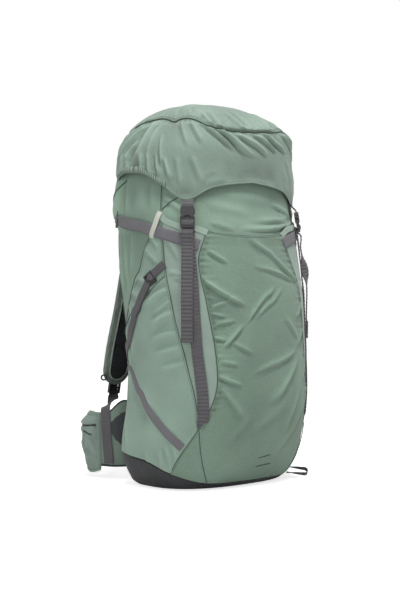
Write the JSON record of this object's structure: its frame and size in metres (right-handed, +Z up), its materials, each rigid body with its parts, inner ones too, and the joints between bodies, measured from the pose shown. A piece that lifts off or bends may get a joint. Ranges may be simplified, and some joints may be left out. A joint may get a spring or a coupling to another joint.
{
  "type": "hiking backpack",
  "caption": "Top-loading framed hiking backpack with hinged buckled lid, stretch pockets, compression straps, padded shoulder harness and padded hip belt.",
  "frame": {"origin": "on the floor at the middle of the flat base", "axes": "+Z up along the pack, -Y to the pack's front, +Y to the wearer, +X to the right seen from the front"},
  "size_m": [0.345, 0.4002, 0.6938],
  "materials": {
    "cloth_green": "matte woven nylon",
    "cloth_light": "matte woven nylon, lighter",
    "cloth_dark": "matte coated nylon",
    "mesh_black": "spacer mesh over foam",
    "webbing_grey": "ribbed webbing",
    "trim_grey": "ribbed webbing, lighter",
    "cord_cream": "flat tape",
    "buckle_black": "moulded acetal",
    "sheet_plastic": "smooth sheet",
    "stay_metal": "satin bar"
  },
  "bodies": {
    "pack": {"base_panel": "cloth_dark", "front_panel": "cloth_green", "rear_panel": "cloth_dark", "side_panel_left": "cloth_green", "side_panel_right": "cloth_green", "collar": "cloth_green", "frame_sheet": "sheet_plastic", "frame_stays": "stay_metal", "back_pad": "mesh_black", "lumbar_pad": "mesh_black", "belt_yoke": "cloth_green", "haul_loop": "webbing_grey", "front_pocket": "cloth_green", "pocket_gussets": "cloth_light", "side_pockets": "cloth_light", "front_straps": "webbing_grey", "side_straps": "trim_grey", "side_buckles": "buckle_black", "keeper_loops": "cord_cream", "pocket_straps": "trim_grey", "pocket_adjusters": "buckle_black", "pocket_trims": "trim_grey", "tool_loop": "webbing_grey", "lid_hinge_tabs": "webbing_grey", "shoulder_webbing_left": "webbing_grey", "shoulder_webbing_right": "webbing_grey", "load_lifter_left": "webbing_grey", "load_lifter_right": "webbing_grey"},
    "lid": {"lid_shell": "cloth_light", "lid_floor": "cloth_dark", "lid_tab_left": "webbing_grey", "lid_tab_right": "webbing_grey", "buckle_socket_left": "buckle_black", "buckle_socket_right": "buckle_black"},
    "plug_left": {"buckle_plug_left": "buckle_black", "strap_tail_left": "webbing_grey"},
    "plug_right": {"buckle_plug_right": "buckle_black", "strap_tail_right": "webbing_grey"},
    "shoulder_left": {"shoulder_pad_left": "mesh_black", "shoulder_adjuster_left": "buckle_black"},
    "shoulder_right": {"shoulder_pad_right": "mesh_black", "shoulder_adjuster_right": "buckle_black"},
    "chest_left": {"sternum_slider_left": "buckle_black", "sternum_web_left": "webbing_grey", "sternum_socket": "buckle_black"},
    "chest_right": {"sternum_slider_right": "buckle_black", "sternum_web_right": "webbing_grey", "sternum_plug": "buckle_black"},
    "belt_left": {"belt_wing_left": "cloth_green", "belt_pocket_left": "cloth_light", "belt_web_left": "webbing_grey", "belt_socket": "buckle_black"},
    "belt_right": {"belt_wing_right": "cloth_green", "belt_pocket_right": "cloth_light", "belt_web_right": "webbing_grey", "belt_plug": "buckle_black"}
  },
  "joints": [
    {"name": "lid_hinge", "type": "hinge", "parent": "pack", "child": "lid", "pos_m": [0, 0.114, 0.552], "axis": [-1, 0, 0], "range_deg": [0, 95]},
    {"name": "front_buckle_left", "type": "slide", "parent": "pack", "child": "plug_left", "axis": [-0.1051, -0.1051, -0.9889], "range_m": [0, 0.045]},
    {"name": "front_buckle_right", "type": "slide", "parent": "pack", "child": "plug_right", "axis": [0.1051, -0.1051, -0.9889], "range_m": [0, 0.045]},
    {"name": "shoulder_swing_left", "type": "hinge", "parent": "pack", "child": "shoulder_left", "pos_m": [-0.05, 0.11553, 0.512], "axis": [1, 0, 0], "range_deg": [0, 25], "deforming": ["shoulder_webbing_left", "load_lifter_left"]},
    {"name": "shoulder_swing_right", "type": "hinge", "parent": "pack", "child": "shoulder_right", "pos_m": [0.05, 0.11553, 0.512], "axis": [1, 0, 0], "range_deg": [0, 25], "deforming": ["shoulder_webbing_right", "load_lifter_right"]},
    {"name": "chest_slide_left", "type": "slide", "parent": "shoulder_left", "child": "chest_left", "axis": [0.0986, -0.1276, 0.9869], "range_m": [-0.025, 0.025]},
    {"name": "chest_slide_right", "type": "slide", "parent": "shoulder_right", "child": "chest_right", "axis": [-0.0986, -0.1276, 0.9869], "range_m": [-0.025, 0.025]},
    {"name": "belt_fold_left", "type": "hinge", "parent": "pack", "child": "belt_left", "pos_m": [-0.146, 0.1378, 0.065], "axis": [0, 0, 1], "range_deg": [0, 45]},
    {"name": "belt_fold_right", "type": "hinge", "parent": "pack", "child": "belt_right", "pos_m": [0.146, 0.1378, 0.065], "axis": [0, 0, -1], "range_deg": [0, 45]}
  ]
}
